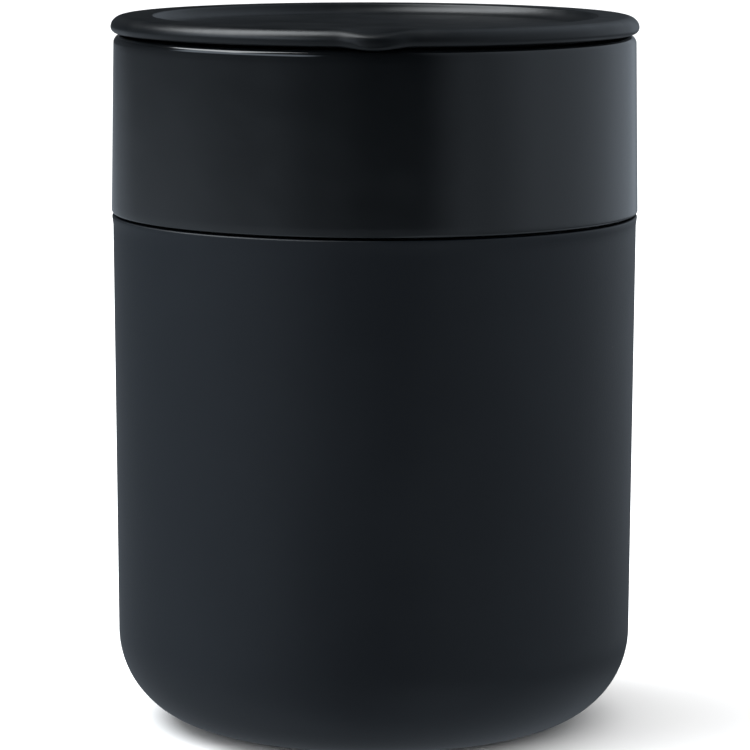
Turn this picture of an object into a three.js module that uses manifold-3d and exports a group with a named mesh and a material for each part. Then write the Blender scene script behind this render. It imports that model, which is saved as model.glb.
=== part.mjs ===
// A lidded ceramic travel cup: a glazed cup with a thick exposed collar, a silicone sleeve that grips
// the body under the collar, and a push-in lid that seals on a finned silicone gasket. Millimetres,
// +Z up, the cup's axis on Z, the sleeve's resting ring on z = 0, the drinking side towards -Y.

import * as THREE from "three";
import { mergeVertices } from "three/addons/utils/BufferGeometryUtils.js";
import Module from "manifold-3d";

// ---- Driving dimensions ----------------------------------------------------------------------------------

const CUP_DIAMETER = 88.6; // across the collar's lower edge, the widest place
const CUP_HEIGHT = 113.9; // ceramic foot to rim
const FIT_GAP = 0.3; // clearance between pieces that touch or slide on each other

// Ceramic cup
const COLLAR_HEIGHT = 29.9; // rim to the collar's lower edge
const COLLAR_FLARE = 0.45; // how much the collar's radius grows from its top to its lower edge
const COLLAR_TOP_ROUND = 1.4;
const COLLAR_BOTTOM_ROUND = 0.6;
const RIM_WIDTH = 4.25; // collar's top to the straight bore that the gasket seals in
const RIM_INNER_ROUND = 1.0;
const MOUTH_LEAD = 2.5; // how far the straight bore goes on below the lid's skirt
const MOUTH_EASE = 3.0; // height of the slope from the bore to the inner wall
const CUP_WALL = 4.2;
const CUP_FLOOR = 6.0;
const CUP_INNER_CORNER = 10.0;
const FOOT_RING_WIDTH = 7.0;
const FOOT_RECESS_DEPTH = 1.0;

// Silicone sleeve
const SLEEVE_SETBACK = 0.25; // how far the sleeve's mouth lies inside the collar's lower edge
const SLEEVE_TAPER = 0.55; // how much its radius shrinks from its mouth to its bottom corner
const SLEEVE_WALL = 2.0;
const SLEEVE_FLOOR = 2.2;
const SLEEVE_EDGE_ROUND = 0.3; // both rounds of the top edge
const CORNER_ROUND = 15.5; // the bottom corner
const RESTING_RING_WIDTH = 7.0;
const BASE_RECESS_DEPTH = 0.6; // the shallow recess inside the resting ring

// Lid
const LID_OVERHANG = 0.45; // flange's edge past the collar's top
const FLANGE_WIDTH = 7.2; // flange's edge to the lip of the dish
const FLANGE_THICKNESS = 2.85;
const FLANGE_EDGE_ROUND = 1.0; // the lower round of the flange's edge
const FLANGE_CROWN_RUN = 2.2; // radial reach of the flange's upper curve
const DISH_ROUND = 0.9; // both rounds of the dish's wall
const DISH_BOWL = 0.5; // how much deeper the dish is at its centre than at its edge
const PLATE_THICKNESS = 1.8;
const SKIRT_CLEARANCE = 1.8; // skirt to the cup's bore
const SKIRT_WALL = 3.2;
const SKIRT_LAND = 1.4; // skirt's lower edge to the gasket's groove
const SKIRT_EDGE_ROUND = 0.8;

// Gasket and the groove that holds it
const GROOVE_HEIGHT = 5.0;
const GROOVE_DEPTH = 1.6;
const GROOVE_DROP = 2.6; // flange's underside to the groove's upper wall
const GASKET_PROUD = 0.3; // how far the gasket's band stands out of the skirt
const FIN_COUNT = 2;
const FIN_THICKNESS = 0.9;

// Drinking side
const SLOT_LENGTH = 16.0;
const SLOT_WIDTH = 5.5;
const SLOT_LAND = 1.65; // slot to the inside of the skirt
const VENT_DIAMETER = 1.8;
const VENT_OFFSET = 4.4; // the vent is this far from the axis, towards -X
const TAB_WIDTH = 10.4;
const TAB_LENGTH = 3.8; // radial length of the lifting tab
const TAB_THICKNESS = 2.9;
const TAB_REACH = 1.15; // past the flange's edge
const TAB_DROOP = 0.35; // below the flange's underside
const DIMPLE_WIDTH = 8.8;
const DIMPLE_LENGTH = 4.6;
const DIMPLE_DEPTH = 0.65;
const DIMPLE_INSET = 1.6; // the dimple's centre to the flange's edge

// Fineness of the facets
const ROUND_STEPS = 64; // round the axis
const CORNER_STEPS = 7; // along a large round
const FILLET_STEPS = 4; // along a middling round
const EDGE_STEPS = 2; // along a small round
const BOWL_RINGS = 3;
const PEBBLE_STEPS = 28;
const HOLE_STEPS = 12;

// ---- Sizes that follow from them -------------------------------------------------------------------------

const cupBase = SLEEVE_FLOOR + FIT_GAP; // height of the ceramic foot
const rimHeight = cupBase + CUP_HEIGHT;
const collarBottom = rimHeight - COLLAR_HEIGHT;
const sleeveTop = collarBottom - FIT_GAP;
const flangeUnderside = rimHeight + FIT_GAP;

const collarFootRadius = CUP_DIAMETER / 2;
const collarTopRadius = collarFootRadius - COLLAR_FLARE;
const boreRadius = collarTopRadius - RIM_WIDTH;
const sleeveMouthRadius = collarFootRadius - SLEEVE_SETBACK;
const sleeveFootRadius = sleeveMouthRadius - SLEEVE_TAPER;

const lidRadius = collarTopRadius + LID_OVERHANG;
const skirtRadius = boreRadius - SKIRT_CLEARANCE;
const skirtInnerRadius = skirtRadius - SKIRT_WALL;
const skirtDepth = GROOVE_DROP + GROOVE_HEIGHT + SKIRT_LAND;
const grooveRadius = skirtRadius - GROOVE_DEPTH;

// Outside radius of the sleeve's tapered wall at a height above the surface it stands on.
function sleeveRadius(z) {
  const share = (z - CORNER_ROUND) / (sleeveTop - CORNER_ROUND);
  return THREE.MathUtils.lerp(sleeveFootRadius, sleeveMouthRadius, share);
}

// Outside radius of the ceramic body, which the sleeve follows with the fit gap.
const bodyRadius = (z) => sleeveRadius(z) - SLEEVE_WALL - FIT_GAP;

// ---- Helpers ---------------------------------------------------------------------------------------------

const point = (r, z) => new THREE.Vector2(r, z);
const radians = THREE.MathUtils.degToRad;

// Points along an elliptical arc in the (radius, height) plane, both ends included.
function oval(r, z, run, rise, from, to, steps) {
  return Array.from({ length: steps + 1 }, (_, i) => {
    const angle = radians(from + ((to - from) * i) / steps);
    return point(r + run * Math.cos(angle), z + rise * Math.sin(angle));
  });
}

// Points along a circular arc in the (radius, height) plane, both ends included.
function arc(r, z, radius, from, to, steps = FILLET_STEPS) {
  return oval(r, z, radius, radius, from, to, steps);
}

// Turns a profile that runs anticlockwise in the (radius, height) plane into a ring or dish about +Z.
function turned(profile) {
  return new THREE.LatheGeometry(profile, ROUND_STEPS).rotateX(Math.PI / 2);
}

const wasm = await Module();
wasm.setup();

// A closed geometry as a solid that can be joined and cut.
function solid(geometry) {
  const bare = geometry.clone();
  bare.deleteAttribute("normal");
  bare.deleteAttribute("uv");
  const merged = mergeVertices(bare);
  return new wasm.Manifold(
    new wasm.Mesh({
      numProp: 3,
      vertProperties: merged.attributes.position.array,
      triVerts: new Uint32Array(merged.index.array),
    }),
  );
}

// A joined or cut solid as a geometry again.
function geometryOf(manifold) {
  const { vertProperties, triVerts } = manifold.getMesh();
  const geometry = new THREE.BufferGeometry();
  geometry.setAttribute("position", new THREE.BufferAttribute(vertProperties, 3));
  geometry.setIndex(new THREE.BufferAttribute(triVerts, 1));
  geometry.computeVertexNormals();
  return geometry;
}

// A sphere scaled to three widths, centred on the drinking side at a distance from the axis and a height.
function pebble(width, length, height, distance, z) {
  return new THREE.SphereGeometry(0.5, PEBBLE_STEPS, PEBBLE_STEPS / 2)
    .rotateX(Math.PI / 2)
    .scale(width, length, height)
    .translate(0, -distance, z);
}

function piece(name, geometry, colour, roughness) {
  const material = new THREE.MeshStandardMaterial({ color: colour, roughness, metalness: 0 });
  const mesh = new THREE.Mesh(geometry, material);
  mesh.name = name;
  return mesh;
}

// ---- Silicone sleeve -------------------------------------------------------------------------------------

// Heights are measured from the surface it stands on.
function sleeveGeometry() {
  const ringOuter = sleeveFootRadius - CORNER_ROUND;
  const ringInner = ringOuter - RESTING_RING_WIDTH;
  const innerRun = CORNER_ROUND - SLEEVE_WALL;
  const innerRise = CORNER_ROUND - SLEEVE_FLOOR;
  const mouthInner = sleeveMouthRadius - SLEEVE_WALL;
  const edge = Math.min(SLEEVE_EDGE_ROUND, SLEEVE_WALL / 2);
  const edgeHeight = sleeveTop - edge;
  return turned([
    point(0, BASE_RECESS_DEPTH),
    point(ringInner - BASE_RECESS_DEPTH, BASE_RECESS_DEPTH),
    point(ringInner, 0),
    ...arc(ringOuter, CORNER_ROUND, CORNER_ROUND, -90, 0, CORNER_STEPS),
    ...arc(sleeveMouthRadius - edge, edgeHeight, edge, 0, 90, EDGE_STEPS),
    ...arc(mouthInner + edge, edgeHeight, edge, 90, 180, EDGE_STEPS),
    ...oval(ringOuter, CORNER_ROUND, innerRun, innerRise, 0, -90, CORNER_STEPS),
    point(0, SLEEVE_FLOOR),
  ]);
}

// ---- Ceramic cup -----------------------------------------------------------------------------------------

// Heights are measured from the ceramic foot.
function cupGeometry() {
  const cornerRun = CORNER_ROUND - SLEEVE_WALL - FIT_GAP;
  const cornerRise = CORNER_ROUND - cupBase;
  const footOuter = bodyRadius(CORNER_ROUND) - cornerRun;
  const footInner = footOuter - FOOT_RING_WIDTH;
  const shoulder = CUP_HEIGHT - COLLAR_HEIGHT;
  const boreFoot = CUP_HEIGHT - skirtDepth - MOUTH_LEAD;
  const easeFoot = boreFoot - MOUTH_EASE;
  const cornerTop = CUP_FLOOR + CUP_INNER_CORNER;
  const collarRoundFoot = shoulder + COLLAR_BOTTOM_ROUND;
  const collarRoundTop = CUP_HEIGHT - COLLAR_TOP_ROUND;
  const innerRadius = (z) => bodyRadius(cupBase + z) - CUP_WALL;
  return turned([
    point(0, FOOT_RECESS_DEPTH),
    point(footInner - FOOT_RECESS_DEPTH, FOOT_RECESS_DEPTH),
    point(footInner, 0),
    ...oval(footOuter, cornerRise, cornerRun, cornerRise, -90, 0, CORNER_STEPS),
    point(bodyRadius(collarBottom), shoulder),
    ...arc(collarFootRadius - COLLAR_BOTTOM_ROUND, collarRoundFoot, COLLAR_BOTTOM_ROUND, -90, 0),
    ...arc(collarTopRadius - COLLAR_TOP_ROUND, collarRoundTop, COLLAR_TOP_ROUND, 0, 90),
    ...arc(boreRadius + RIM_INNER_ROUND, CUP_HEIGHT - RIM_INNER_ROUND, RIM_INNER_ROUND, 90, 180),
    point(boreRadius, boreFoot),
    point(innerRadius(easeFoot), easeFoot),
    ...arc(innerRadius(cornerTop) - CUP_INNER_CORNER, cornerTop, CUP_INNER_CORNER, 0, -90, CORNER_STEPS),
    point(0, CUP_FLOOR),
  ]);
}

// ---- Lid -------------------------------------------------------------------------------------------------

// The lid's heights are measured from the flange's underside, which sits over the rim.
const grooveTop = -GROOVE_DROP;
const grooveFoot = grooveTop - GROOVE_HEIGHT;

// The flange, the shallow dish inside it and the plug skirt below, as one moulding without its openings.
function lidBlank() {
  const lip = lidRadius - FLANGE_WIDTH;
  const dishWall = FLANGE_THICKNESS - DISH_ROUND; // height of the middle of the dish's wall
  const dishEdge = dishWall - DISH_ROUND; // height of the dish's floor at its edge
  const dishFloorRadius = lip - DISH_ROUND;
  const plateUnderside = dishEdge - DISH_BOWL - PLATE_THICKNESS;
  const skirtEdge = SKIRT_EDGE_ROUND - skirtDepth;
  const crownFoot = lidRadius - FLANGE_CROWN_RUN;
  const crownRise = FLANGE_THICKNESS - FLANGE_EDGE_ROUND;
  const crown = oval(crownFoot, FLANGE_EDGE_ROUND, FLANGE_CROWN_RUN, crownRise, 0, 90, FILLET_STEPS);
  const bowl = Array.from({ length: BOWL_RINGS }, (_, i) => {
    const share = 1 - (i + 1) / (BOWL_RINGS + 1);
    return point(dishFloorRadius * share, dishEdge - DISH_BOWL * (1 - share * share));
  });
  return turned([
    point(0, plateUnderside),
    point(skirtInnerRadius, plateUnderside),
    ...arc(skirtInnerRadius + SKIRT_EDGE_ROUND, skirtEdge, SKIRT_EDGE_ROUND, 180, 270, EDGE_STEPS),
    ...arc(skirtRadius - SKIRT_EDGE_ROUND, skirtEdge, SKIRT_EDGE_ROUND, -90, 0, EDGE_STEPS),
    point(skirtRadius, grooveFoot),
    point(grooveRadius, grooveFoot),
    point(grooveRadius, grooveTop),
    point(skirtRadius, grooveTop),
    point(skirtRadius, 0),
    ...arc(lidRadius - FLANGE_EDGE_ROUND, FLANGE_EDGE_ROUND, FLANGE_EDGE_ROUND, -90, 0),
    ...crown.slice(1),
    ...arc(lip + DISH_ROUND, dishWall, DISH_ROUND, 90, 180),
    ...arc(lip - DISH_ROUND, dishWall, DISH_ROUND, 0, -90).slice(1),
    ...bowl,
    point(0, dishEdge - DISH_BOWL),
  ]);
}

// A slot that follows the rim, with round ends, as a cutter that passes right through the plate.
function slotCutter() {
  const capRadius = SLOT_WIDTH / 2;
  const middle = skirtInnerRadius - SLOT_LAND - capRadius; // radius of the slot's middle line
  const sweep = (SLOT_LENGTH - SLOT_WIDTH) / (2 * middle);
  const front = -Math.PI / 2;
  const from = front - sweep;
  const to = front + sweep;
  const capCentre = (angle) => [middle * Math.cos(angle), middle * Math.sin(angle)];
  const outline = new THREE.Shape();
  outline.absarc(0, 0, middle + capRadius, from, to, false);
  outline.absarc(...capCentre(to), capRadius, to, to + Math.PI, false);
  outline.absarc(0, 0, middle - capRadius, to, from, true);
  outline.absarc(...capCentre(from), capRadius, from + Math.PI, from + 2 * Math.PI, false);
  return new THREE.ExtrudeGeometry(outline, {
    depth: 2 * skirtDepth,
    bevelEnabled: false,
    curveSegments: HOLE_STEPS,
  }).translate(0, 0, -skirtDepth);
}

function ventCutter() {
  const radius = VENT_DIAMETER / 2;
  return new THREE.CylinderGeometry(radius, radius, 2 * skirtDepth, HOLE_STEPS)
    .rotateX(Math.PI / 2)
    .translate(-VENT_OFFSET, 0, 0);
}

// The lifting tab bulges out of the flange's edge and droops a little below it.
function tab() {
  const distance = lidRadius + TAB_REACH - TAB_LENGTH / 2;
  return pebble(TAB_WIDTH, TAB_LENGTH, TAB_THICKNESS, distance, TAB_THICKNESS / 2 - TAB_DROOP);
}

// The fingertip dimple in the flange's crown, over the tab.
function dimple() {
  const distance = lidRadius - DIMPLE_INSET;
  return pebble(DIMPLE_WIDTH, DIMPLE_LENGTH, 2 * DIMPLE_DEPTH, distance, FLANGE_THICKNESS);
}

function lidGeometry() {
  const shell = solid(lidBlank())
    .add(solid(tab()))
    .subtract(solid(dimple()))
    .subtract(solid(slotCutter()))
    .subtract(solid(ventCutter()));
  return geometryOf(shell);
}

// ---- Gasket ----------------------------------------------------------------------------------------------

// A band in the lid's groove, with fins that reach for the cup's bore. Heights are the lid's.
function gasketGeometry() {
  const inner = grooveRadius + FIT_GAP;
  const band = skirtRadius + GASKET_PROUD;
  const finTip = boreRadius - FIT_GAP;
  const foot = grooveFoot + FIT_GAP;
  const top = grooveTop - FIT_GAP;
  const pitch = (top - foot) / FIN_COUNT;
  const profile = [point(inner, foot), point(band, foot)];
  for (let fin = 0; fin < FIN_COUNT; fin += 1) {
    const middle = foot + pitch * (fin + 0.5);
    profile.push(
      point(band, middle - FIN_THICKNESS),
      point(finTip, middle),
      point(finTip, middle + FIN_THICKNESS / 2),
      point(band, middle + FIN_THICKNESS / 2),
    );
  }
  profile.push(point(band, top), point(inner, top), point(inner, foot));
  return turned(profile);
}

// ---- Assembly --------------------------------------------------------------------------------------------

const SOFT_BLACK = 0x22262a;
const GLAZE_BLACK = 0x0d1013;
const LID_BLACK = 0x24272a;
const GASKET_BLACK = 0x141618;

const sleeve = piece("silicone_sleeve", sleeveGeometry(), SOFT_BLACK, 0.75);

const cup = piece("ceramic_cup", cupGeometry(), GLAZE_BLACK, 0.12);
cup.position.z = cupBase;

const lid = new THREE.Group();
lid.position.z = flangeUnderside;
lid.add(
  piece("lid_shell", lidGeometry(), LID_BLACK, 0.5),
  piece("lid_gasket", gasketGeometry(), GASKET_BLACK, 0.6),
);

const travelCup = new THREE.Group();
travelCup.add(sleeve, cup, lid);

export default travelCup;
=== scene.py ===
"""A lidded ceramic travel cup in a plain studio.

A glazed cup stands in a silicone sleeve, under a push-in lid that seals on a finned silicone gasket. Metres,
+Z up, the cup's axis on Z, the drinking side towards -Y. Each piece takes its place and its outer sizes from
the frame.
"""

import logging
import math
from dataclasses import dataclass
from enum import Enum
from typing import Any, Mapping, Sequence, Union

import bmesh
import bpy
from mathutils import Matrix, Vector

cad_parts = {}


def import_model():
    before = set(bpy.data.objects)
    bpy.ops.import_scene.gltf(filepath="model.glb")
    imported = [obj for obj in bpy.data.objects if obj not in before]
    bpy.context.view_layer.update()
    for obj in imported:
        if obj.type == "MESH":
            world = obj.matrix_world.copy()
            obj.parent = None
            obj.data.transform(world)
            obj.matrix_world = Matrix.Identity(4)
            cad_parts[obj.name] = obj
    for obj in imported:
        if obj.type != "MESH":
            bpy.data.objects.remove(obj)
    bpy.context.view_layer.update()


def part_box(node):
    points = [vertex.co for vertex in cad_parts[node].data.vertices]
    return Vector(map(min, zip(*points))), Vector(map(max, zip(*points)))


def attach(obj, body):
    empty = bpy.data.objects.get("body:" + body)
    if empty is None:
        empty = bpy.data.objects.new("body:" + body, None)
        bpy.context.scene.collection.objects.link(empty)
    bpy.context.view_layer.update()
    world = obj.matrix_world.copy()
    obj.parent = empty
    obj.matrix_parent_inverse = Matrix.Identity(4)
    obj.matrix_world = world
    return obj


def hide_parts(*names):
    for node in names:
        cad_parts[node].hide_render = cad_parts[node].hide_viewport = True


LOG = logging.getLogger("travel_cup")

AXIS = (0.0, 0.0, 1.0)  # the axis that every turned piece is spun about
SPIN_STEPS = 256
MERGE = 1e-7  # points this close are one point
SLIVER = 2e-6  # where a cut leaves two points this close, they are one point
GRAIN = 0.0011  # longest edge that a profile keeps
CREASE = math.radians(38)  # edges that turn more than this are drawn sharp
SMOOTH = 1.0  # layers of noise that has hardly any fine detail
CLOUD_LAYERS = 4.0  # finer layers of cloudy noise
CLOUD_STRENGTH = 0.6  # how strong those layers are
MIDDLE = 0.5  # the middle of a noise's range
SPECK_CORE = 0.4  # share of a mark's radius that is fully marked
SPECK_CUT = 0.001  # how sharply the places with a mark are told from the rest

Colour = tuple[float, float, float]
Span = tuple[float, float]  # where a soft edge starts and ends
Input = Union["Value", float, Sequence[float], bpy.types.NodeSocket]


class Body(Enum):
    """The bodies of the frame that pieces ride on."""

    SLEEVE = "sleeve"
    CUP = "cup"
    GASKET = "gasket"
    LID = "lid"


class Slot(Enum):
    """The record's material slots."""

    SLEEVE = "sleeve"
    GLAZE = "glaze"
    GASKET = "gasket"
    LID = "lid"


# ---- Shader values ---------------------------------------------------------------------------------------


class Value:
    """A number that varies over a surface: an output socket, with the arithmetic that finishes need."""

    def __init__(self, paint: "Paint", socket: bpy.types.NodeSocket) -> None:
        """Wraps a socket.

        Args:
            paint: The tree that the socket belongs to.
            socket: The output socket.
        """
        self.paint = paint
        self.socket = socket

    def _math(self, operation: str, first: Input, second: Input) -> "Value":
        """Adds a Math node.

        Args:
            operation: The node's operation.
            first: Its first value.
            second: Its second value.

        Returns:
            The node's result.
        """
        return self.paint.value("ShaderNodeMath", {"operation": operation}, {0: first, 1: second})

    def __add__(self, other: Input) -> "Value":
        """Returns the sum."""
        return self._math("ADD", self, other)

    def __radd__(self, other: Input) -> "Value":
        """Returns the sum, with this value second."""
        return self._math("ADD", other, self)

    def __sub__(self, other: Input) -> "Value":
        """Returns the difference."""
        return self._math("SUBTRACT", self, other)

    def __rsub__(self, other: Input) -> "Value":
        """Returns the difference, with this value second."""
        return self._math("SUBTRACT", other, self)

    def __mul__(self, other: Input) -> "Value":
        """Returns the product."""
        return self._math("MULTIPLY", self, other)

    def __rmul__(self, other: Input) -> "Value":
        """Returns the product, with this value second."""
        return self._math("MULTIPLY", other, self)

    def step(self, low: float, high: float) -> "Value":
        """Rises smoothly from 0 to 1.

        Args:
            low: Where the rise starts.
            high: Where it ends. A high below low makes it fall.

        Returns:
            The eased value.
        """
        settings = {"interpolation_type": "SMOOTHSTEP"}
        if low < high:
            return self.paint.value("ShaderNodeMapRange", settings, {0: self, 1: low, 2: high})
        return 1 - self.paint.value("ShaderNodeMapRange", settings, {0: self, 1: high, 2: low})


class Paint:
    """A node tree that a finish or the studio is drawn in."""

    def __init__(self, tree: bpy.types.NodeTree) -> None:
        """Empties a tree.

        Args:
            tree: The tree of a material or a world.
        """
        self.tree = tree
        tree.nodes.clear()

    def node(self, kind: str, settings: Mapping[str, Any], inputs: Mapping[Any, Input]) -> bpy.types.Node:
        """Adds any node.

        Args:
            kind: The node's type.
            settings: Its settings, set first. "stops" are a ramp's, as (place, brightness).
            inputs: A value or a link for each socket, by name or place.

        Returns:
            The node.
        """
        node = self.tree.nodes.new(kind)
        for name, setting in settings.items():
            if name == "stops":
                self._set_stops(node.color_ramp, setting)
            else:
                setattr(node, name, setting)
        for name, given in inputs.items():
            if isinstance(given, Value):
                given = given.socket
            if isinstance(given, bpy.types.NodeSocket):
                self.tree.links.new(given, node.inputs[name])
            else:
                node.inputs[name].default_value = given
        return node

    @staticmethod
    def _set_stops(ramp: bpy.types.ColorRamp, stops: Sequence[tuple[float, float]]) -> None:
        """Gives a ramp its stops.

        Args:
            ramp: The ramp.
            stops: Place and brightness of each stop, in rising order.
        """
        ramp.interpolation = "EASE"
        ramp.elements[0].position = stops[0][0]
        ramp.elements[-1].position = stops[-1][0]
        for place, _ in stops[1:-1]:
            ramp.elements.new(place)
        for element, (_, brightness) in zip(ramp.elements, stops):
            element.color = (brightness, brightness, brightness, 1.0)

    def value(self, kind: str, settings: Mapping[str, Any], inputs: Mapping[Any, Input]) -> Value:
        """Adds any node and returns its first output as a value."""
        return Value(self, self.node(kind, settings, inputs).outputs[0])

    def place(self) -> tuple[bpy.types.NodeSocket, Value, Value, Value]:
        """Reads where a point of the piece is.

        Returns:
            The place as a vector, and its x, y and z.
        """
        place = self.node("ShaderNodeTexCoord", {}, {}).outputs["Object"]
        split = self.node("ShaderNodeSeparateXYZ", {}, {0: place})
        return place, *(Value(self, axis) for axis in split.outputs)

    def noise(self, place: Input, size: float, detail: float = 2.0, roughness: float = 0.5) -> Value:
        """Soft noise.

        Args:
            place: Where on the piece.
            size: Width of one blot, in metres.
            detail: How many finer layers it has.
            roughness: How strong those are.

        Returns:
            The noise, about 0.5 in the middle.
        """
        inputs = {"Vector": place, "Scale": 1 / size, "Detail": detail, "Roughness": roughness}
        return self.value("ShaderNodeTexNoise", {}, inputs)

    def specks(self, place: Input, spacing: float, size: float, share: float) -> Value:
        """Small round marks, scattered.

        Args:
            place: Where on the piece.
            spacing: Distance between the places where one may lie, in metres.
            size: Radius of a mark, in metres.
            share: Share of those places that has one.

        Returns:
            1 on a mark, 0 off it.
        """
        cells = self.node("ShaderNodeTexVoronoi", {}, {"Vector": place, "Scale": 1 / spacing})
        reach = size / spacing
        near = Value(self, cells.outputs["Distance"]).step(reach, reach * SPECK_CORE)
        middles = {"Vector": cells.outputs["Position"]}
        draw = self.node("ShaderNodeTexWhiteNoise", {}, middles).outputs["Value"]
        chosen = Value(self, draw).step(share, share - SPECK_CUT)
        return near * chosen

    def blend(self, share: Input, first: Input, second: Input) -> bpy.types.NodeSocket:
        """Mixes two colours.

        Args:
            share: How much of the second.
            first: The first colour.
            second: The second colour.

        Returns:
            The mixed colour.
        """
        mixer = self.node("ShaderNodeMix", {"data_type": "RGBA"}, {0: share})
        for place, colour in ((6, first), (7, second)):
            if isinstance(colour, bpy.types.NodeSocket):
                self.tree.links.new(colour, mixer.inputs[place])
            else:
                mixer.inputs[place].default_value = (*colour, 1.0)
        return mixer.outputs[2]

    def bump(
        self, height: Input, depth: float, under: Union[bpy.types.NodeSocket, None] = None
    ) -> bpy.types.NodeSocket:
        """Turns a height into a surface direction.

        Args:
            height: The height, 0 to 1.
            depth: How many metres a height of 1 is.
            under: A coarser bump that this one lies on.

        Returns:
            The direction, for a shader's Normal.
        """
        inputs = {"Height": height, "Distance": depth, "Strength": 1.0}
        if under is not None:
            inputs["Normal"] = under
        return self.node("ShaderNodeBump", {}, inputs).outputs["Normal"]

    def surface(self, **inputs: Input) -> None:
        """Ends the tree in one surface shader.

        Args:
            **inputs: A value for each of its sockets, named with _ for a space.
        """
        named = {name.replace("_", " "): given for name, given in inputs.items()}
        shader = self.node("ShaderNodeBsdfPrincipled", {}, named)
        self.node("ShaderNodeOutputMaterial", {}, {"Surface": shader.outputs[0]})


# ---- Finishes --------------------------------------------------------------------------------------------


@dataclass(frozen=True)
class Finish:
    """What every finish has: a name and a tree of its own."""

    name: str

    def material(self) -> bpy.types.Material:
        """Draws the finish.

        Returns:
            The material.
        """
        material = bpy.data.materials.new(self.name)
        material.use_nodes = True
        self.draw(Paint(material.node_tree))
        return material

    def draw(self, paint: Paint) -> None:
        """Draws the finish into an empty tree; each kind of finish does it its own way."""
        raise NotImplementedError


@dataclass(frozen=True)
class BlackGlaze(Finish):
    """Glossy black glaze with a faint ripple, and bare clay where the foot ring stood in the kiln."""

    foot_height: float
    glaze: Colour = (0.0016, 0.0020, 0.0024)
    pooled: float = 1.25  # brightness of the glaze where it lies thick, over where it lies thin
    pool_size: float = 0.03
    pool_layers: float = 3.0
    sheen: float = 0.085  # the glaze's least roughness
    sheen_range: float = 0.05
    sheen_size: float = 0.02
    clay: Colour = (0.42, 0.37, 0.31)
    clay_dark: float = 0.72  # brightness of the clay's darker grains, over the lighter ones
    clay_grain: float = 0.0004
    clay_roughness: float = 0.75
    bare_height: float = 0.0006  # how far up from the foot the clay is bare
    bare_share: float = 0.6  # share of that height with no glaze on it at all
    wobble_size: float = 0.004
    wobble_height: float = 0.0003  # how far the glaze's edge wanders
    ripple_size: float = 0.009
    ripple_depth: float = 0.00004
    peel_size: float = 0.0012
    peel_depth: float = 0.0000035
    ior: float = 1.5

    def draw(self, paint: Paint) -> None:
        """Draws the glaze.

        Args:
            paint: The empty tree.
        """
        place, _, _, z = paint.place()
        wobble = paint.noise(place, self.wobble_size) * self.wobble_height
        glazed_from = self.foot_height + self.bare_height
        bare_up_to = self.foot_height + self.bare_height * self.bare_share
        bare = (z - wobble).step(glazed_from, bare_up_to)
        pool = paint.noise(place, self.pool_size, self.pool_layers)
        glaze = paint.blend(pool, self.glaze, tuple(self.pooled * part for part in self.glaze))
        grain = paint.noise(place, self.clay_grain)
        clay = paint.blend(grain, self.clay, tuple(self.clay_dark * part for part in self.clay))
        sheen = self.sheen + self.sheen_range * paint.noise(place, self.sheen_size, self.pool_layers)
        ripple = paint.bump(paint.noise(place, self.ripple_size, SMOOTH), self.ripple_depth)
        peel = paint.bump(paint.noise(place, self.peel_size, SMOOTH), self.peel_depth, ripple)
        paint.surface(
            Base_Color=paint.blend(bare, glaze, clay),
            Roughness=bare * self.clay_roughness + (1 - bare) * sheen,
            Normal=peel,
            IOR=self.ior,
        )


@dataclass(frozen=True)
class SoftSilicone(Finish):
    """Matte silicone with a fine moulded grain, a faint bloom and the odd fleck of lint."""

    colour: Colour = (0.0003, 0.0021, 0.0046)
    bloom: Colour = (0.0008, 0.0029, 0.0056)
    bloom_size: float = 0.028
    bloom_edge: Span = (0.35, 0.75)
    roughness: float = 0.43
    cloud_roughness: float = 0.10  # how much the roughness varies with the bloom
    grain_roughness: float = 0.06  # how much it varies with the grain
    grain_size: float = 0.00035
    grain_depth: float = 0.000012
    wave_size: float = 0.012
    wave_depth: float = 0.00002
    lint: float = 0.035  # share of the places that carry a fleck
    lint_spacing: float = 0.006
    lint_size: float = 0.00022
    lint_colour: Colour = (0.16, 0.16, 0.16)
    lint_cover: float = 0.5  # how much of what is under it a fleck hides
    ior: float = 1.42

    def draw(self, paint: Paint) -> None:
        """Draws the silicone.

        Args:
            paint: The empty tree.
        """
        place, _, _, _ = paint.place()
        cloud = paint.noise(place, self.bloom_size, CLOUD_LAYERS, CLOUD_STRENGTH)
        grain = paint.noise(place, self.grain_size)
        flecks = paint.specks(place, self.lint_spacing, self.lint_size, self.lint)
        colour = paint.blend(cloud.step(*self.bloom_edge), self.colour, self.bloom)
        rough = (
            self.roughness
            + self.cloud_roughness * (cloud - MIDDLE)
            + self.grain_roughness * (grain - MIDDLE)
        )
        wave = paint.bump(paint.noise(place, self.wave_size, SMOOTH), self.wave_depth)
        paint.surface(
            Base_Color=paint.blend(flecks * self.lint_cover, colour, self.lint_colour),
            Roughness=rough,
            Normal=paint.bump(grain, self.grain_depth, wave),
            IOR=self.ior,
        )


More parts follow.
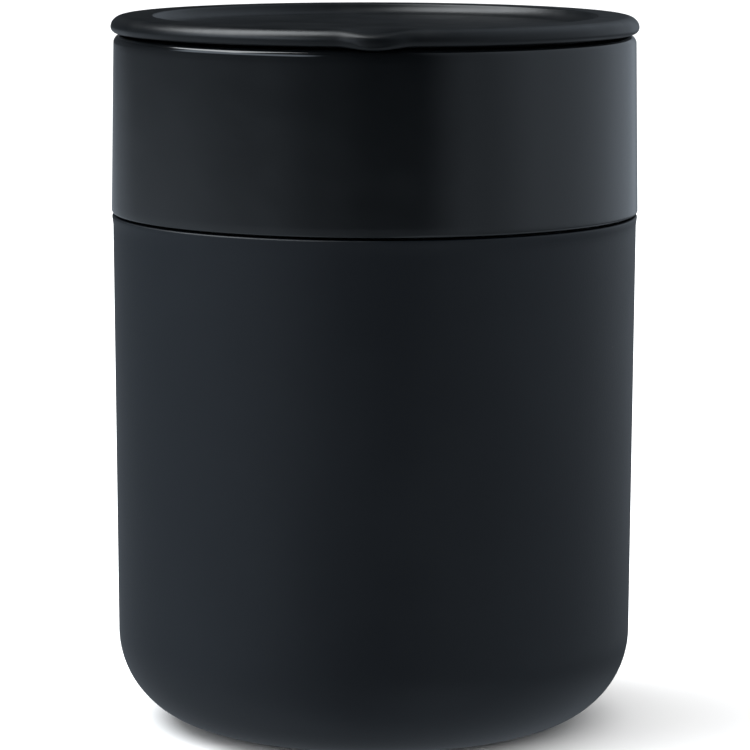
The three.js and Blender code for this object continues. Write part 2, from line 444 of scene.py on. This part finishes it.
@dataclass(frozen=True)
class MouldedPlastic(Finish):
    """Satin moulded plastic with a spark-eroded grain, light wear on the crest and a little dust."""

    crest: float  # height of the lid's crest, where hands rub it
    colour: Colour = (0.0012, 0.0020, 0.0028)
    rubbed: Colour = (0.0040, 0.0048, 0.0056)
    wear: float = 0.6  # how rubbed the most worn places are
    wear_depth: float = 0.0012  # how far below the crest the wear reaches
    wear_edge: Span = (0.40, 0.70)
    roughness: float = 0.36
    cloud_size: float = 0.007
    cloud_roughness: float = 0.22  # how much the roughness varies from cloud to cloud
    grain_roughness: float = 0.05  # how much it varies with the grain
    grain_size: float = 0.00028
    grain_depth: float = 0.000006
    wave_size: float = 0.010
    wave_depth: float = 0.00005
    dust: float = 0.10  # share of the places that carry a speck
    dust_spacing: float = 0.005
    dust_size: float = 0.00020
    dust_colour: Colour = (0.20, 0.20, 0.20)
    dust_cover: float = 0.5  # how much of what is under it a speck hides
    ior: float = 1.38

    def draw(self, paint: Paint) -> None:
        """Draws the plastic.

        Args:
            paint: The empty tree.
        """
        place, _, _, z = paint.place()
        cloud = paint.noise(place, self.cloud_size, CLOUD_LAYERS, CLOUD_STRENGTH)
        grain = paint.noise(place, self.grain_size)
        specks = paint.specks(place, self.dust_spacing, self.dust_size, self.dust)
        worn = z.step(self.crest - self.wear_depth, self.crest) * cloud.step(*self.wear_edge)
        colour = paint.blend(worn * self.wear, self.colour, self.rubbed)
        rough = (
            self.roughness
            + self.cloud_roughness * (cloud - MIDDLE)
            + self.grain_roughness * (grain - MIDDLE)
        )
        wave = paint.bump(paint.noise(place, self.wave_size), self.wave_depth)
        paint.surface(
            Base_Color=paint.blend(specks * self.dust_cover, colour, self.dust_colour),
            Roughness=rough,
            Normal=paint.bump(grain, self.grain_depth, wave),
            IOR=self.ior,
        )


# ---- Shapes ----------------------------------------------------------------------------------------------


class Profile:
    """A line in the radius-height plane, drawn on from its tip, that a full spin makes solid.

    It starts and ends on the axis, or closes on itself where the piece is a ring.
    """

    def __init__(self, radius: float, height: float) -> None:
        """Starts the line.

        Args:
            radius: Distance of its first point from the axis.
            height: Height of its first point.
        """
        self.mesh = bmesh.new()
        self.tip = self.mesh.verts.new((radius, 0.0, height))
        self.start = self.tip

    def line(self, radius: float, height: float) -> "Profile":
        """Goes straight on.

        Args:
            radius: Distance of the new tip from the axis.
            height: Height of the new tip.

        Returns:
            The profile.
        """
        new_tip = self.mesh.verts.new((radius, 0.0, height))
        self.mesh.edges.new((self.tip, new_tip))
        self.tip = new_tip
        return self

    def bend(
        self, radius: float, height: float, turn: float, steps: int = 8, wide: float = 1.0, tall: float = 1.0
    ) -> "Profile":
        """Goes on round a centre, with the tip's own distance from that centre.

        Args:
            radius: Distance of the centre from the axis.
            height: Height of the centre.
            turn: Degrees to go round it, positive where it runs anticlockwise.
            steps: How many edges the bend has.
            wide: Stretch of the bend along the radius, which makes it oval.
            tall: Stretch of the bend along the height.

        Returns:
            The profile.
        """
        centre = Vector((radius, 0.0, height))
        drawn = len(self.mesh.verts)
        made = bmesh.ops.spin(
            self.mesh,
            geom=[self.tip],
            cent=centre,
            axis=(0.0, -1.0, 0.0),
            angle=math.radians(turn),
            steps=steps,
        )
        self.tip = made["geom_last"][0]
        arc = self.mesh.verts[drawn:]
        bmesh.ops.scale(self.mesh, vec=(wide, 1.0, tall), space=Matrix.Translation(-centre), verts=arc)
        return self

    def close(self) -> "Profile":
        """Joins the tip to the start, for a ring, and returns the profile."""
        self.mesh.edges.new((self.tip, self.start))
        return self

    def solid(self, steps: int = SPIN_STEPS) -> bmesh.types.BMesh:
        """Spins the line into a closed solid.

        Args:
            steps: How many steps the full turn has.

        Returns:
            The solid, with its faces pointing outwards.
        """
        mesh = self.mesh
        for edge in list(mesh.edges):
            cuts = math.ceil(edge.calc_length() / GRAIN) - 1
            if cuts > 0:
                bmesh.ops.bisect_edges(mesh, edges=[edge], cuts=cuts)
        bmesh.ops.spin(
            mesh,
            geom=mesh.verts[:] + mesh.edges[:],
            cent=(0.0, 0.0, 0.0),
            axis=AXIS,
            angle=math.tau,
            steps=steps,
            use_merge=True,
        )
        bmesh.ops.remove_doubles(mesh, verts=mesh.verts[:], dist=MERGE)
        bmesh.ops.recalc_face_normals(mesh, faces=mesh.faces[:])
        return mesh


def finished(name: str, mesh: bmesh.types.BMesh, finish: Finish) -> bpy.types.Object:
    """Makes a piece of a finished mesh.

    Args:
        name: The piece's name.
        mesh: Its mesh, in place, which is freed.
        finish: What it is dressed in.

    Returns:
        The piece.
    """
    data = bpy.data.meshes.new(name)
    mesh.to_mesh(data)
    mesh.free()
    data.shade_smooth()
    data.set_sharp_from_angle(angle=CREASE)
    data.materials.append(finish.material())
    piece = bpy.data.objects.new(name, data)
    bpy.context.scene.collection.objects.link(piece)
    return piece


def fit(piece: bpy.types.Object, body: Body, node: str) -> None:
    """Puts a piece in a node's place, and reports it.

    Args:
        piece: The piece.
        body: The body that it rides on.
        node: The node that it stands for.
    """
    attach(piece, body.value)
    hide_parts(node)
    LOG.info("%s: %d faces, rides on %s", piece.name, len(piece.data.polygons), body.value)


def hump(distance: float, reach: float) -> float:
    """Returns 1 at distance 0, easing to 0 at the reach and beyond."""
    share = min(1.0, abs(distance) / reach)
    return (1.0 - share * share) ** 2


# ---- Sleeve ----------------------------------------------------------------------------------------------


@dataclass
class Sleeve:
    """The silicone sleeve that grips the cup's body, with a round bottom corner and a resting ring."""

    wall: float = 0.0020
    floor: float = 0.0022
    taper: float = 0.00055  # how much the radius shrinks from the mouth to the bottom corner
    corner: float = 0.0155
    edge: float = 0.0003
    lip: float = 0.00018  # how far the top edge stands out
    lip_height: float = 0.0016
    ring_width: float = 0.0070
    recess: float = 0.0006
    corner_steps: int = 24

    def mesh(self) -> bmesh.types.BMesh:
        """Shapes the sleeve as one turned wall.

        Returns:
            The mesh.
        """
        _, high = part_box("silicone_sleeve")
        mouth = high.x
        top = high.z
        foot = mouth - self.taper
        ring_outer = foot - self.corner
        ring_inner = ring_outer - self.ring_width
        inner_run = self.corner - self.wall
        inner_rise = self.corner - self.floor
        inner_mouth = mouth - self.wall
        return (
            Profile(0.0, self.recess)
            .line(ring_inner - self.recess, self.recess)
            .line(ring_inner, 0.0)
            .line(ring_outer, 0.0)
            .bend(ring_outer, self.corner, 90, self.corner_steps)
            .line(mouth, top - self.lip_height)
            .line(mouth + self.lip, top - self.edge)
            .bend(mouth + self.lip - self.edge, top - self.edge, 90)
            .line(inner_mouth + self.edge, top)
            .bend(inner_mouth + self.edge, top - self.edge, 90)
            .line(ring_outer + inner_run, self.corner)
            .bend(ring_outer, self.corner, -90, self.corner_steps, tall=inner_rise / inner_run)
            .line(0.0, self.floor)
            .solid()
        )

    def build(self) -> bpy.types.Object:
        """Makes the sleeve.

        Returns:
            The sleeve, dressed and in place.
        """
        piece = finished("sleeve_wall", self.mesh(), SoftSilicone("soft_black_silicone"))
        fit(piece, Body.SLEEVE, "silicone_sleeve")
        return piece


# ---- Cup -------------------------------------------------------------------------------------------------


@dataclass
class Cup:
    """The glazed ceramic cup, whose thick collar stays in sight above the sleeve."""

    collar: float = 0.0299
    flare: float = 0.00045  # how much the collar's radius grows downwards
    top_round: float = 0.0014
    bottom_round: float = 0.0006
    rim: float = 0.00425  # collar's top to the bore
    rim_round: float = 0.0010
    bore_depth: float = 0.0115
    ease: float = 0.0030  # height of the slope from the bore to the inner wall
    wall: float = 0.0042
    floor: float = 0.0060
    inner_corner: float = 0.0100
    foot_width: float = 0.0070
    foot_recess: float = 0.0010
    gap: float = 0.0003  # to the sleeve
    corner_steps: int = 20
    top_steps: int = 14
    round_steps: int = 10

    def mesh(self, sleeve: Sleeve) -> bmesh.types.BMesh:
        """Shapes the cup as one turned wall.

        Args:
            sleeve: The sleeve that the body fits.

        Returns:
            The mesh.
        """
        low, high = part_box("ceramic_cup")
        sleeve_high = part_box("silicone_sleeve")[1]
        base = low.z
        rim = high.z
        shoulder = rim - self.collar
        collar_foot = high.x
        collar_top = collar_foot - self.flare
        bore = collar_top - self.rim
        body_top = sleeve_high.x - sleeve.wall - self.gap
        body_foot = body_top - sleeve.taper
        slope = sleeve.taper / (sleeve_high.z - sleeve.corner)

        def body(height: float) -> float:
            """Returns the body's radius at a height."""
            return body_foot + slope * (height - sleeve.corner)

        corner_run = sleeve.corner - sleeve.wall - self.gap
        corner_rise = sleeve.corner - base
        foot_outer = body_foot - corner_run
        foot_inner = foot_outer - self.foot_width
        bore_foot = rim - self.bore_depth
        ease_foot = bore_foot - self.ease
        floor = base + self.floor
        corner_top = floor + self.inner_corner
        inner_corner = body(corner_top) - self.wall - self.inner_corner
        return (
            Profile(0.0, base + self.foot_recess)
            .line(foot_inner - self.foot_recess, base + self.foot_recess)
            .line(foot_inner, base)
            .line(foot_outer, base)
            .bend(foot_outer, base + corner_rise, 90, self.corner_steps, wide=corner_run / corner_rise)
            .line(body(shoulder), shoulder)
            .line(collar_foot - self.bottom_round, shoulder)
            .bend(collar_foot - self.bottom_round, shoulder + self.bottom_round, 90, self.round_steps)
            .line(collar_top, rim - self.top_round)
            .bend(collar_top - self.top_round, rim - self.top_round, 90, self.top_steps)
            .line(bore + self.rim_round, rim)
            .bend(bore + self.rim_round, rim - self.rim_round, 90, self.round_steps)
            .line(bore, bore_foot)
            .line(body(ease_foot) - self.wall, ease_foot)
            .line(inner_corner + self.inner_corner, corner_top)
            .bend(inner_corner, corner_top, -90, self.corner_steps)
            .line(0.0, floor)
            .solid()
        )

    def build(self, sleeve: Sleeve) -> bpy.types.Object:
        """Makes the cup.

        Args:
            sleeve: The sleeve that the body fits.

        Returns:
            The cup, dressed and in place.
        """
        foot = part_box("ceramic_cup")[0].z
        piece = finished("cup_wall", self.mesh(sleeve), BlackGlaze("black_glaze", foot_height=foot))
        fit(piece, Body.CUP, "ceramic_cup")
        return piece


# ---- Gasket ----------------------------------------------------------------------------------------------


@dataclass
class Gasket:
    """The silicone gasket in the lid's groove, whose fins reach for the cup's bore."""

    inner: float = 0.0365
    band: float = 0.0381
    fins: int = 2
    fin: float = 0.0009  # thickness of a fin
    edge: float = 0.00015
    edge_steps: int = 4
    colour: Colour = (0.0060, 0.0066, 0.0072)
    roughness: float = 0.38

    def mesh(self) -> bmesh.types.BMesh:
        """Shapes the gasket as one turned ring.

        Returns:
            The mesh.
        """
        low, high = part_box("lid_gasket")
        tip = high.x
        pitch = (high.z - low.z) / self.fins
        ring = Profile(self.inner, low.z + self.edge)
        ring.bend(self.inner + self.edge, low.z + self.edge, 90, self.edge_steps)
        ring.line(self.band - self.edge, low.z)
        ring.bend(self.band - self.edge, low.z + self.edge, 90, self.edge_steps)
        for fin in range(self.fins):
            middle = low.z + pitch * (fin + 1 / 2)
            ring.line(self.band, middle - self.fin)
            ring.line(tip - self.edge, middle - self.edge)
            ring.line(tip, middle)
            ring.line(tip, middle + self.fin / 2 - self.edge)
            ring.bend(tip - self.edge, middle + self.fin / 2 - self.edge, 90, self.edge_steps)
            ring.line(self.band, middle + self.fin / 2)
        ring.line(self.band, high.z - self.edge)
        ring.bend(self.band - self.edge, high.z - self.edge, 90, self.edge_steps)
        ring.line(self.inner + self.edge, high.z)
        ring.bend(self.inner + self.edge, high.z - self.edge, 90, self.edge_steps)
        return ring.close().solid()

    def build(self) -> bpy.types.Object:
        """Makes the gasket.

        Returns:
            The gasket, dressed and in place.
        """
        finish = SoftSilicone("gasket_silicone", colour=self.colour, roughness=self.roughness, lint=0.0)
        piece = finished("gasket_ring", self.mesh(), finish)
        fit(piece, Body.GASKET, "lid_gasket")
        return piece


# ---- Lid -------------------------------------------------------------------------------------------------


@dataclass
class Lid:
    """The push-in lid: a crowned flange, a shallow dish, a plug skirt with a groove, and its openings."""

    thickness: float = 0.00285  # the flange's
    flange: float = 0.0072  # flange's edge to the lip of the dish
    edge: float = 0.0010  # lower round of the flange's edge
    crown: float = 0.0022  # radial reach of the flange's upper curve
    dish_depth: float = 0.0018  # crest to the dish's edge
    dish_slope: float = math.radians(65)  # the steepest part of the dish's wall
    dish_lip: float = 0.0004  # round of the dish's lip
    bowl: float = 0.0005  # how much deeper the dish is at its centre
    plate: float = 0.0018
    skirt: float = 0.0378
    skirt_wall: float = 0.0032
    skirt_edge: float = 0.0008
    groove_drop: float = 0.0026
    groove_height: float = 0.0050
    groove_depth: float = 0.0016
    slot_half: float = 0.00525  # the slot's middle to the centre of its round end, along the slot
    slot_cap: float = 0.00275  # radius of its round ends
    slot_land: float = 0.00165  # slot to the inside of the skirt
    vent_radius: float = 0.0009
    vent_place: float = -0.0044  # along X
    lip_round: float = 0.0005  # round of both ends of each opening
    dish_reach: float = 0.0027  # lip of the dish to the edge of its floor
    tab_half: float = 0.0062
    tab_run: float = 0.0030  # how far in from the flange's edge the tab's underside starts to droop
    tab_lean: float = 1.2  # how much further in it starts for each metre up
    tab_droop: float = 0.00058
    hollow_half: float = 0.0046
    hollow_rise: float = 0.0014  # flange's underside to the hollow's middle
    hollow_reach: float = 0.0009
    hollow_depth: float = 0.00032
    skirt_steps: int = 6
    edge_steps: int = 10
    crown_steps: int = 14
    lip_steps: int = 6
    cove_steps: int = 12
    floor_steps: int = 36
    spin_steps: int = 400
    slot_steps: int = 48
    slot_cuts: int = 15  # cuts in each straight side of the slot
    vent_steps: int = 32
    ring_turn: int = 15  # degrees between the rings of an opening's rounded ends

    def blank(self, radius: float, top: float, foot: float) -> bmesh.types.BMesh:
        """Shapes the lid without its openings.

        Args:
            radius: The flange's radius.
            top: Height of the crest.
            foot: Height of the skirt's lower edge.

        Returns:
            The mesh.
        """
        under = top - self.thickness
        lip = radius - self.flange
        dish_edge = top - self.dish_depth
        across = math.sin(self.dish_slope)
        up = math.cos(self.dish_slope)
        cove = self.dish_depth / (1 - up) - self.dish_lip
        cove_radius = lip + self.dish_lip - (self.dish_lip + cove) * across
        cove_height = top - self.dish_lip + (self.dish_lip + cove) * up
        slope = math.degrees(self.dish_slope)
        underside = dish_edge - self.bowl - self.plate
        inner = self.skirt - self.skirt_wall
        groove_top = under - self.groove_drop
        groove_foot = groove_top - self.groove_height
        groove = self.skirt - self.groove_depth
        crown_rise = self.thickness - self.edge
        # The dish's floor is part of a large sphere through its edge and its centre.
        ball = (cove_radius**2 + self.bowl**2) / (2 * self.bowl)
        sweep = math.degrees(math.asin(cove_radius / ball))
        return (
            Profile(0.0, underside)
            .line(inner - self.skirt_edge, underside)
            .bend(inner - self.skirt_edge, underside - self.skirt_edge, -90, self.skirt_steps)
            .line(inner, foot + self.skirt_edge)
            .bend(inner + self.skirt_edge, foot + self.skirt_edge, 90, self.skirt_steps)
            .line(self.skirt - self.skirt_edge, foot)
            .bend(self.skirt - self.skirt_edge, foot + self.skirt_edge, 90, self.skirt_steps)
            .line(self.skirt, groove_foot)
            .line(groove, groove_foot)
            .line(groove, groove_top)
            .line(self.skirt, groove_top)
            .line(self.skirt, under)
            .line(radius - self.edge, under)
            .bend(radius - self.edge, under + self.edge, 90, self.edge_steps)
            .bend(radius - self.crown, under + self.edge, 90, self.crown_steps, tall=crown_rise / self.crown)
            .line(lip + self.dish_lip, top)
            .bend(lip + self.dish_lip, top - self.dish_lip, slope, self.lip_steps)
            .bend(cove_radius, cove_height, -slope, self.cove_steps)
            .bend(0.0, dish_edge - self.bowl + ball, -sweep, self.floor_steps)
            .solid(self.spin_steps)
        )

    def press_drinking_side(self, mesh: bmesh.types.BMesh, radius: float, top: float, reach: float) -> None:
        """Draws the lifting tab out of the flange's lower edge, with a hollow for a fingertip above it.

        Args:
            mesh: The lid's mesh.
            radius: The flange's radius.
            top: Height of the crest.
            reach: How far the tab stands past the flange.
        """
        under = top - self.thickness
        for vert in mesh.verts:
            distance = math.hypot(vert.co.x, vert.co.y)
            if vert.co.y > 0 or distance < self.skirt or vert.co.z < under - MERGE:
                continue
            along = distance * math.atan2(vert.co.x, -vert.co.y)
            rise = vert.co.z - under
            edge = hump(radius - distance, self.tab_run + self.tab_lean * rise)
            pull = hump(along, self.tab_half) * edge
            press = hump(along, self.hollow_half) * edge * hump(rise - self.hollow_rise, self.hollow_reach)
            outward = Vector((vert.co.x, vert.co.y, 0.0)) / distance
            vert.co += outward * (reach * pull - self.hollow_depth * press)
            vert.co.z -= self.tab_droop * pull

    def flared(self, lower: float, upper: float) -> list[tuple[float, float]]:
        """Works out a cutter's rings so that it rounds both ends of its opening.

        Args:
            lower: Height of the plate's underside.
            upper: Height of its top.

        Returns:
            Height and growth of each ring, from the lowest up.
        """
        angles = [math.radians(angle) for angle in range(0, 90, self.ring_turn)]
        depths = [self.lip_round * (1 - math.sin(angle)) for angle in angles]
        growths = [self.lip_round * (1 - math.cos(angle)) for angle in angles]
        foot = [(lower + depth, growth) for depth, growth in zip(reversed(depths), reversed(growths))]
        head = [(upper - depth, growth) for depth, growth in zip(depths, growths)]
        over = 2 * self.lip_round
        return [(lower - over, growths[-1]), *foot, *head, (upper + over, growths[-1])]

    def opening(
        self, half: float, cap: float, levels: Sequence[tuple[float, float]], steps: int
    ) -> bmesh.types.BMesh:
        """Shapes a cutter for an opening, lying along X about the origin.

        Args:
            half: Its middle to the centre of its round end.
            cap: Radius of its round ends.
            levels: Height and growth of each ring of it, from the lowest up.
            steps: How many steps a ring has.

        Returns:
            The cutter, closed.
        """
        mesh = bmesh.new()
        rings = []
        half_step = Matrix.Rotation(math.pi / steps, 4, "Z")
        for height, growth in levels:
            place = Matrix.Translation((0.0, 0.0, height)) @ half_step
            ring = bmesh.ops.create_circle(mesh, segments=steps, radius=cap + growth, matrix=place)["verts"]
            for vert in ring:
                vert.co.x += math.copysign(half, vert.co.x)
            edges = {edge for vert in ring for edge in vert.link_edges}
            straight = [edge for edge in edges if edge.calc_length() > 2 * half > 0.0]
            if straight:
                split = bmesh.ops.bisect_edges(mesh, edges=straight, cuts=self.slot_cuts)["geom_split"]
                edges.update(part for part in split if isinstance(part, bmesh.types.BMEdge))
            rings.append(edges)
        for lower, upper in zip(rings, rings[1:]):
            bmesh.ops.bridge_loops(mesh, edges=list(lower | upper))
        bmesh.ops.holes_fill(mesh, edges=mesh.edges[:], sides=0)
        bmesh.ops.recalc_face_normals(mesh, faces=mesh.faces[:])
        return mesh

    def cut(self, mesh: bmesh.types.BMesh, cutters: Sequence[bmesh.types.BMesh]) -> bmesh.types.BMesh:
        """Cuts openings through the lid.

        Args:
            mesh: The lid's mesh, which is freed.
            cutters: Closed cutters, which are freed.

        Returns:
            The lid with its openings.
        """
        data = bpy.data.meshes.new("lid_blank")
        mesh.to_mesh(data)
        mesh.free()
        blank = bpy.data.objects.new("lid_blank", data)
        bpy.context.scene.collection.objects.link(blank)
        tools = []
        for cutter in cutters:
            tool_data = bpy.data.meshes.new("lid_cutter")
            cutter.to_mesh(tool_data)
            cutter.free()
            tool = bpy.data.objects.new("lid_cutter", tool_data)
            bpy.context.scene.collection.objects.link(tool)
            difference = blank.modifiers.new("opening", "BOOLEAN")
            difference.operation = "DIFFERENCE"
            difference.solver = "EXACT"
            difference.object = tool
            tools.append(tool)
        shown = blank.evaluated_get(bpy.context.evaluated_depsgraph_get())
        result = bmesh.new()
        result.from_mesh(shown.to_mesh())
        shown.to_mesh_clear()
        for thing in (blank, *tools):
            bpy.data.objects.remove(thing)
        bmesh.ops.remove_doubles(result, verts=result.verts[:], dist=SLIVER)
        return result

    def mesh(self) -> bmesh.types.BMesh:
        """Shapes the lid with its tab, hollow, slot and vent.

        Returns:
            The mesh.
        """
        low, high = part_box("lid_shell")
        radius = high.x
        top = high.z
        reach = -low.y - radius
        blank = self.blank(radius, top, low.z)
        self.press_drinking_side(blank, radius, top, reach)

        inner = self.skirt - self.skirt_wall
        middle = inner - self.slot_land - self.slot_cap
        dish_edge = top - self.dish_depth
        underside = dish_edge - self.bowl - self.plate

        share = middle / (radius - self.flange - self.dish_reach)
        slot_top = dish_edge - self.bowl * (1 - share * share)
        slot_rings = self.flared(underside, slot_top)
        slot = self.opening(self.slot_half, self.slot_cap, slot_rings, self.slot_steps)
        for vert in slot.verts:
            angle = vert.co.x / middle
            distance = middle - vert.co.y
            vert.co.x = distance * math.sin(angle)
            vert.co.y = -distance * math.cos(angle)
        bmesh.ops.recalc_face_normals(slot, faces=slot.faces[:])
        vent_rings = self.flared(underside, dish_edge - self.bowl)
        vent = self.opening(0.0, self.vent_radius, vent_rings, self.vent_steps)
        bmesh.ops.translate(vent, vec=(self.vent_place, 0.0, 0.0), verts=vent.verts[:])
        return self.cut(blank, (slot, vent))

    def build(self) -> bpy.types.Object:
        """Makes the lid.

        Returns:
            The lid, dressed and in place.
        """
        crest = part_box("lid_shell")[1].z
        piece = finished("lid_moulding", self.mesh(), MouldedPlastic("satin_black_plastic", crest=crest))
        fit(piece, Body.LID, "lid_shell")
        return piece


# ---- Studio ----------------------------------------------------------------------------------------------


@dataclass
class Studio:
    """A pale floor, an overhead panel to the left, walls of light and the camera.

    Every edge of the walls is soft. A side's span is in radians, turned from the front, with the left below
    0. The span of a top or a foot is a height on a unit sphere round the cup.
    """

    floor_half: float = 4.0
    floor_colour: Colour = (0.95, 0.95, 0.95)
    floor_roughness: float = 0.9
    panel_place: tuple[float, float, float] = (-0.64, 0.02, 1.10)
    panel_width: float = 0.90
    panel_depth: float = 1.00
    panel_power: float = 24.0
    panel_colour: Colour = (0.93, 0.97, 1.0)
    sky: float = 1.35  # brightness of the room above, for soft light
    backdrop: float = 1.05  # brightness of what is seen behind the cup
    tint: Colour = (0.88, 1.0, 1.14)  # the walls are a little cool
    left_side: Span = (0.35, 0.0)
    left_base: float = 0.15  # brightness of the left walls high up
    left_middle: float = 0.35  # what they gain down to the horizon
    left_middle_top: Span = (0.5, 0.0)
    left_low: float = 0.5  # what they gain under it
    left_low_top: Span = (-0.02, -0.08)
    right_side: Span = (0.0, 0.35)
    right_base: float = 0.30  # brightness of the right walls low down
    right_high: float = 0.70  # what they gain above that
    right_high_foot: Span = (-0.24, -0.10)
    right_top: Span = (1.0, 0.85)
    table: float = 0.22  # a dim table in front and to the left
    table_top: Span = (-0.015, -0.13)
    table_side: Span = (1.2, 0.3)
    strip: float = 2.4  # a bright strip high on the left, for the streak on the collar's top edge
    strip_left: Span = (-1.85, -1.60)
    strip_right: Span = (-0.40, -0.60)
    strip_foot: Span = (0.20, 0.28)
    strip_top: Span = (0.62, 0.50)
    glow: float = 0.30  # light from low on the right
    glow_top: Span = (-0.30, -0.50)
    glow_side: Span = (0.1, 0.5)
    camera_place: tuple[float, float, float] = (0.00012, -0.700, 0.1570)
    camera_pitch: float = 0.1397  # downwards, in radians
    camera_roll: float = 0.0021
    lens: float = 199.9
    sensor: float = 36.0
    clip_start: float = 0.01

    def floor(self) -> None:
        """Lays the floor."""
        mesh = bmesh.new()
        bmesh.ops.create_grid(mesh, x_segments=2, y_segments=2, size=self.floor_half)
        data = bpy.data.meshes.new("studio_floor")
        mesh.to_mesh(data)
        mesh.free()
        material = bpy.data.materials.new("pale_floor")
        material.use_nodes = True
        colour = (*self.floor_colour, 1.0)
        Paint(material.node_tree).surface(Base_Color=colour, Roughness=self.floor_roughness)
        data.materials.append(material)
        floor = bpy.data.objects.new("studio_floor", data)
        floor.visible_glossy = False
        bpy.context.scene.collection.objects.link(floor)

    def panel(self) -> None:
        """Hangs the overhead panel."""
        light = bpy.data.lights.new("overhead_panel", "AREA")
        light.shape = "RECTANGLE"
        light.size = self.panel_width
        light.size_y = self.panel_depth
        light.energy = self.panel_power
        light.color = self.panel_colour
        panel = bpy.data.objects.new("overhead_panel", light)
        place = Vector(self.panel_place)
        aim = (-place).to_track_quat("-Z", "Y").to_matrix().to_4x4()
        panel.matrix_world = Matrix.Translation(place) @ aim
        bpy.context.scene.collection.objects.link(panel)

    def walls(self) -> None:
        """Surrounds the cup with pale walls at its sides, a dark room in front, and white behind it."""
        world = bpy.data.worlds.new("studio")
        world.use_nodes = True
        bpy.context.scene.world = world
        paint = Paint(world.node_tree)
        direction = paint.node("ShaderNodeTexCoord", {}, {}).outputs["Generated"]
        split = paint.node("ShaderNodeSeparateXYZ", {}, {0: direction})
        x, y, z = (Value(paint, axis) for axis in split.outputs)
        turn = paint.value("ShaderNodeMath", {"operation": "ARCTAN2"}, {0: x, 1: 0 - y})
        round_share = turn * (1 / math.tau) + 0.5
        around = paint.value("ShaderNodeValToRGB", {"stops": self.around()}, {0: round_share})
        left_shade = (
            self.left_base
            + self.left_middle * z.step(*self.left_middle_top)
            + self.left_low * z.step(*self.left_low_top)
        )
        right_shade = self.right_base + self.right_high * z.step(*self.right_high_foot)
        left = around * turn.step(*self.left_side) * left_shade
        right = around * turn.step(*self.right_side) * right_shade * z.step(*self.right_top)
        table = z.step(*self.table_top) * self.table * turn.step(*self.table_side)
        strip = self.strip * turn.step(*self.strip_left) * turn.step(*self.strip_right)
        strip = strip * z.step(*self.strip_foot) * z.step(*self.strip_top)
        glow = self.glow * z.step(*self.glow_top) * turn.step(*self.glow_side)
        walls = left + right + table + strip + glow
        rays = paint.node("ShaderNodeLightPath", {}, {}).outputs
        seen = Value(paint, rays["Is Camera Ray"])
        soft = Value(paint, rays["Is Diffuse Ray"])
        strength = seen * self.backdrop + soft * self.sky + (1 - seen - soft) * walls
        colour = paint.blend(seen + soft, self.tint, (1.0, 1.0, 1.0))
        background = paint.node("ShaderNodeBackground", {}, {"Color": colour, "Strength": strength})
        paint.node("ShaderNodeOutputWorld", {}, {"Surface": background.outputs[0]})

    @staticmethod
    def around() -> list[tuple[float, float]]:
        """Lists the walls' brightness round the cup, from straight behind it by the left to the front and on.

        Returns:
            Place along the turn, 0 to 1, and brightness of each stop.
        """
        degrees = {
            -180: 0.00, -168: 0.12, -135: 0.15, -85: 0.42, -50: 0.32, -22: 0.10, 0: 0.00,
            18: 0.00, 44: 0.33, 78: 0.62, 125: 0.68, 155: 0.52, 172: 0.20, 180: 0.00,
        }
        return [(angle / 360 + 0.5, brightness) for angle, brightness in degrees.items()]

    def camera(self) -> None:
        """Sets up the camera."""
        data = bpy.data.cameras.new("studio_camera")
        data.lens = self.lens
        data.sensor_width = self.sensor
        data.clip_start = self.clip_start
        camera = bpy.data.objects.new("studio_camera", data)
        camera.matrix_world = (
            Matrix.Translation(self.camera_place)
            @ Matrix.Rotation(math.pi / 2 - self.camera_pitch, 4, "X")
            @ Matrix.Rotation(self.camera_roll, 4, "Z")
        )
        bpy.context.scene.collection.objects.link(camera)
        bpy.context.scene.camera = camera

    def build(self) -> None:
        """Sets the scene."""
        self.camera()
        self.floor()
        self.panel()
        self.walls()
        bpy.context.scene.view_settings.view_transform = "Standard"


def main() -> None:
    """Builds the cup and its studio."""
    logging.basicConfig(level=logging.INFO, format="%(name)s %(message)s")
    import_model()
    Studio().build()
    sleeve = Sleeve()
    sleeve.build()
    Cup().build(sleeve)
    Gasket().build()
    Lid().build()


if __name__ == "__main__":
    main()
